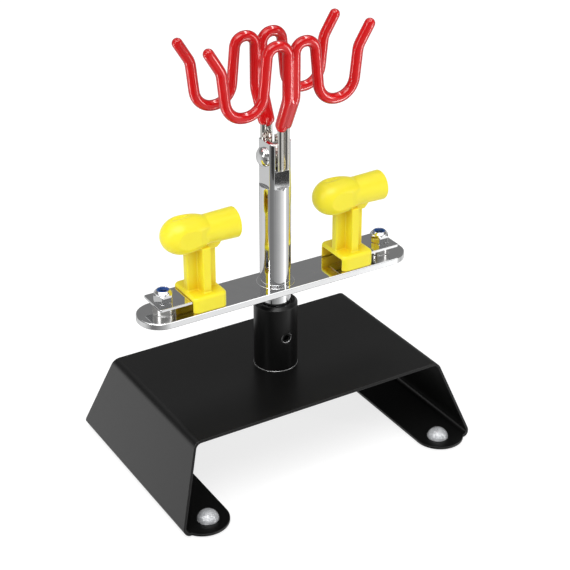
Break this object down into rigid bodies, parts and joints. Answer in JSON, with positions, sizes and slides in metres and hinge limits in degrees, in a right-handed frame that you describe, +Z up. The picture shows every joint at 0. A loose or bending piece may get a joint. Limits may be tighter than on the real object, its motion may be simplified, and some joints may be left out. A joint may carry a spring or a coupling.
{
  "type": "airbrush holder stand",
  "caption": "Table-top airbrush stand: folded black steel foot, chromed column that turns in a socket, cross bar with yellow nozzle holders, and a rocking head with red dipped wire hooks.",
  "frame": {"origin": "on the table under the column's axis, midway between the feet", "axes": "+Z up along the column, +X along the cross bar to the right, -Y the front, where the locking screw faces"},
  "size_m": [0.1508, 0.1114, 0.1999],
  "materials": {
    "powder_coat": "satin",
    "clear_rubber": "clear",
    "bright_steel": "bright",
    "chrome": "mirror",
    "satin_nickel": "satin",
    "wire_steel": "bright",
    "blue_nylon": "satin",
    "yellow_plastic": "slightly translucent",
    "red_dip": "glossy"
  },
  "bodies": {
    "foot": {"base_frame": "powder_coat", "feet": "clear_rubber", "socket": "powder_coat"},
    "lock": {"locking_screw": "bright_steel"},
    "turning_column": {"column": "chrome", "cross_bar": "chrome", "bar_bolts": "chrome", "bar_spacers": "satin_nickel", "nyloc_nuts": "chrome", "nylon_rings": "blue_nylon", "fork_bolt": "chrome"},
    "left_tab": {"tab_left": "chrome"},
    "left_holder": {"holder_left": "yellow_plastic"},
    "right_tab": {"tab_right": "chrome"},
    "right_holder": {"holder_right": "yellow_plastic"},
    "hook_head": {"pivot_hub": "wire_steel", "wire_front_left": "wire_steel", "wire_front_right": "wire_steel", "wire_rear_left": "wire_steel", "wire_rear_right": "wire_steel", "dip_front": "red_dip", "dip_rear": "red_dip"}
  },
  "joints": [
    {"name": "column_turn", "type": "hinge", "parent": "foot", "child": "turning_column", "pos_m": [0, 0, 0], "axis": [0, 0, 1], "continuous": true},
    {"name": "lock_screw_travel", "type": "slide", "parent": "foot", "child": "lock", "axis": [0, -1, 0], "range_m": [0, 0.003]},
    {"name": "head_rock", "type": "hinge", "parent": "turning_column", "child": "hook_head", "pos_m": [0, 0, 0.142], "axis": [1, 0, 0], "range_deg": [-8.5, 8.5]},
    {"name": "left_tab_swivel", "type": "hinge", "parent": "turning_column", "child": "left_tab", "pos_m": [-0.056, 0, 0.086], "axis": [0, 0, 1], "continuous": true},
    {"name": "right_tab_swivel", "type": "hinge", "parent": "turning_column", "child": "right_tab", "pos_m": [0.056, 0, 0.086], "axis": [0, 0, 1], "continuous": true},
    {"name": "left_holder_slide", "type": "slide", "parent": "left_tab", "child": "left_holder", "axis": [1, 0, 0], "range_m": [-0.0045, 0.01]},
    {"name": "right_holder_slide", "type": "slide", "parent": "right_tab", "child": "right_holder", "axis": [-1, 0, 0], "range_m": [-0.0045, 0.01]}
  ]
}
